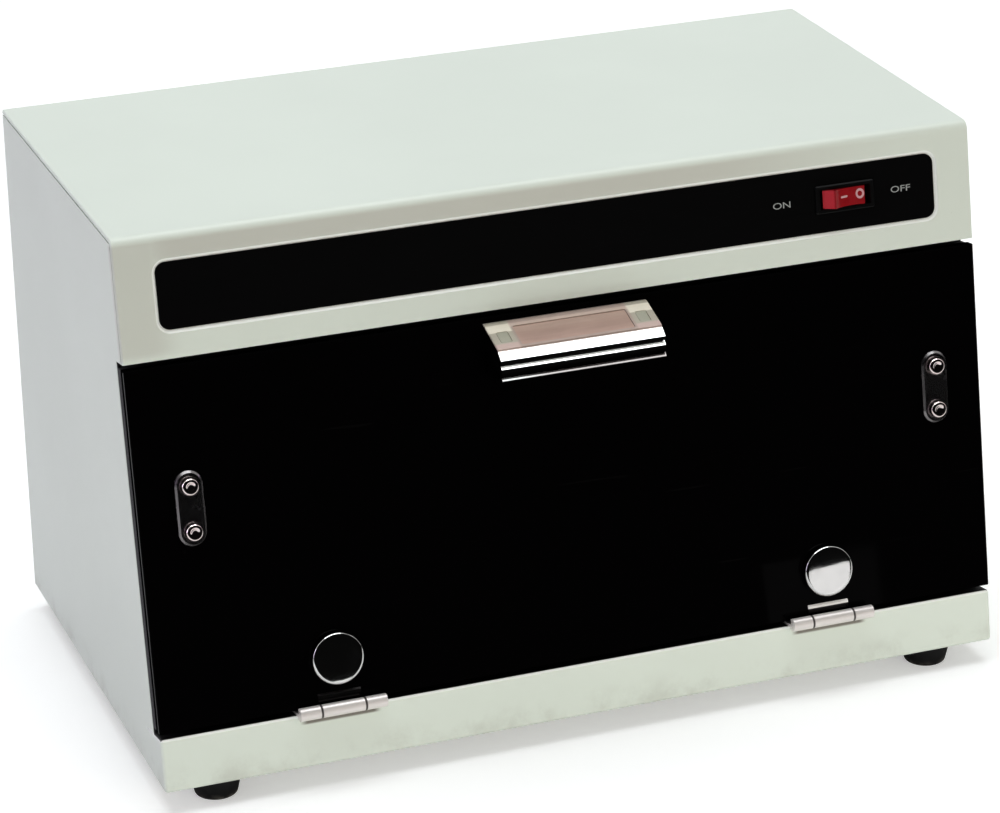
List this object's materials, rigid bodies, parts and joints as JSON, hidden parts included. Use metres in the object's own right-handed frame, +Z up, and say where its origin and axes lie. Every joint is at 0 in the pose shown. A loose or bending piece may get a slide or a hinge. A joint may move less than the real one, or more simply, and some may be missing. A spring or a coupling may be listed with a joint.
{
  "type": "uv sterilizer",
  "caption": "Countertop ultraviolet tool sterilizer: sheet-metal cabinet with a slanted front, fold-down dark door, rocker switch, tube lamp and lift-out tray.",
  "frame": {"origin": "middle of the footprint (width by overall depth) on the surface that the feet stand on", "axes": "+X along the width, to the right seen from the front; -Y is the front with the door; +Z up"},
  "size_m": [0.37, 0.2208, 0.2345],
  "materials": {
    "shell_paint": "satin warm white coat",
    "bright_sheet": "bright rolled sheet",
    "stainless": "brushed",
    "hinge_steel": "satin",
    "chrome": "polished",
    "zinc_screw": "zinc plated",
    "cap_metal": "drawn can",
    "door_acrylic": "polished dark acrylic",
    "label_black": "satin black panel",
    "insert_tint": "tinted bright strip",
    "rubber": "matte black",
    "foam": "closed-cell foam",
    "black_plastic": "fine texture",
    "red_plastic": "translucent red",
    "white_plastic": "moulded",
    "magnet": "ferrite with steel poles",
    "choke_grey": "dipped laminations",
    "tube_glass": "clear quartz",
    "wire_cover": "insulated"
  },
  "bodies": {
    "cabinet": {"ballast": "choke_grey", "cabinet_shell": "shell_paint", "catch_body_left": "white_plastic", "catch_body_right": "white_plastic", "catch_magnet_left": "magnet", "catch_magnet_right": "magnet", "catch_screws": "zinc_screw", "chamber_liner": "bright_sheet", "cover_screws": "zinc_screw", "door_gasket": "foam", "door_switch": "black_plastic", "foot_front_left": "rubber", "foot_front_right": "rubber", "foot_nuts": "zinc_screw", "foot_rear_left": "rubber", "foot_rear_right": "rubber", "foot_screws": "zinc_screw", "header_label": "label_black", "hinge_base_leaf_left": "hinge_steel", "hinge_base_leaf_right": "hinge_steel", "hinge_leaf_screws": "zinc_screw", "hinge_pin_left": "hinge_steel", "hinge_pin_right": "hinge_steel", "inlet_pins": "chrome", "inlet_screws": "zinc_screw", "lamp_end_caps": "cap_metal", "lamp_holder_left": "white_plastic", "lamp_holder_right": "white_plastic", "lamp_pins": "chrome", "lamp_reflector": "bright_sheet", "lamp_tube": "tube_glass", "mains_inlet": "black_plastic", "rear_panel": "shell_paint", "rear_panel_screws": "zinc_screw", "starter": "cap_metal", "starter_socket": "white_plastic", "switch_housing": "black_plastic", "switch_terminals": "zinc_screw", "terminal_block": "white_plastic", "tool_tray": "stainless", "top_cover": "shell_paint", "wiring": "wire_cover"},
    "door": {"door_panel": "door_acrylic", "door_handle": "chrome", "handle_insert": "insert_tint", "handle_screws": "zinc_screw", "hinge_clamp_screws": "zinc_screw", "catch_cover_screws": "chrome", "hinge_door_leaf_left": "hinge_steel", "hinge_disc_left": "chrome", "catch_cover_left": "chrome", "strike_plate_left": "stainless", "hinge_door_leaf_right": "hinge_steel", "hinge_disc_right": "chrome", "catch_cover_right": "chrome", "strike_plate_right": "stainless"},
    "rocker": {"switch_rocker": "red_plastic"},
    "plunger": {"door_switch_plunger": "red_plastic"}
  },
  "joints": [
    {"name": "door_hinge", "type": "hinge", "parent": "cabinet", "child": "door", "pos_m": [0, -0.10765, 0.03463], "axis": [1, 0, 0], "range_deg": [0, 106]},
    {"name": "rocker_pivot", "type": "hinge", "parent": "cabinet", "child": "rocker", "pos_m": [0.1273, -0.06913, 0.20937], "axis": [0, -0.1648, -0.9863], "range_deg": [0, 20]},
    {"name": "plunger_slide", "type": "slide", "parent": "cabinet", "child": "plunger", "axis": [0, -0.9863, 0.1648], "range_m": [0, 0.004]}
  ],
  "couplings": [
    {"joint": "plunger_slide", "follows": "door_hinge", "m_per_rad": 0.00216}
  ]
}
